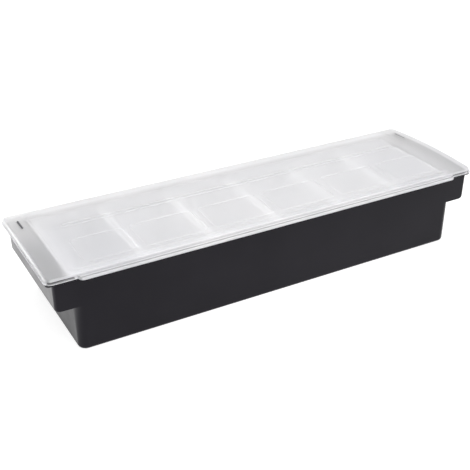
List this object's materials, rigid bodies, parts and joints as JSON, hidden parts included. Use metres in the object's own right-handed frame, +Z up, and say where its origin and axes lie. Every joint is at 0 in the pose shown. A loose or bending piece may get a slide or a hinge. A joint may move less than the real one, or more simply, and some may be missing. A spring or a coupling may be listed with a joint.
{
  "type": "compartment food container",
  "caption": "Long black tray, stepped in at both ends, with a row of white lift-out food inserts under a frosted lid hinged along the back.",
  "frame": {"origin": "centre of the bounding box, at the floor that the tray stands on", "axes": "+X along the row of inserts, to the right of a person at the finger flange; +Y from the finger flange to the hinge; +Z up"},
  "size_m": [0.5, 0.1572, 0.0911],
  "materials": {
    "base_plastic": "black, fine satin texture",
    "insert_plastic": "white, smooth",
    "lid_plastic": "frosted, see-through"
  },
  "bodies": {
    "base": {"base_tray": "base_plastic"},
    "lid": {"lid": "lid_plastic"},
    "insert_1": {"insert_1": "insert_plastic"},
    "insert_2": {"insert_2": "insert_plastic"},
    "insert_3": {"insert_3": "insert_plastic"},
    "insert_4": {"insert_4": "insert_plastic"},
    "insert_5": {"insert_5": "insert_plastic"},
    "insert_6": {"insert_6": "insert_plastic"}
  },
  "joints": [
    {"name": "lid_hinge", "type": "hinge", "parent": "base", "child": "lid", "pos_m": [0, 0.0751, 0.0782], "axis": [-1, 0, 0], "range_deg": [0, 105]},
    {"name": "insert_1_lift", "type": "slide", "parent": "base", "child": "insert_1", "axis": [0, 0, 1], "range_m": [0, 0.003]},
    {"name": "insert_2_lift", "type": "slide", "parent": "base", "child": "insert_2", "axis": [0, 0, 1], "range_m": [0, 0.003]},
    {"name": "insert_3_lift", "type": "slide", "parent": "base", "child": "insert_3", "axis": [0, 0, 1], "range_m": [0, 0.003]},
    {"name": "insert_4_lift", "type": "slide", "parent": "base", "child": "insert_4", "axis": [0, 0, 1], "range_m": [0, 0.003]},
    {"name": "insert_5_lift", "type": "slide", "parent": "base", "child": "insert_5", "axis": [0, 0, 1], "range_m": [0, 0.003]},
    {"name": "insert_6_lift", "type": "slide", "parent": "base", "child": "insert_6", "axis": [0, 0, 1], "range_m": [0, 0.003]}
  ]
}
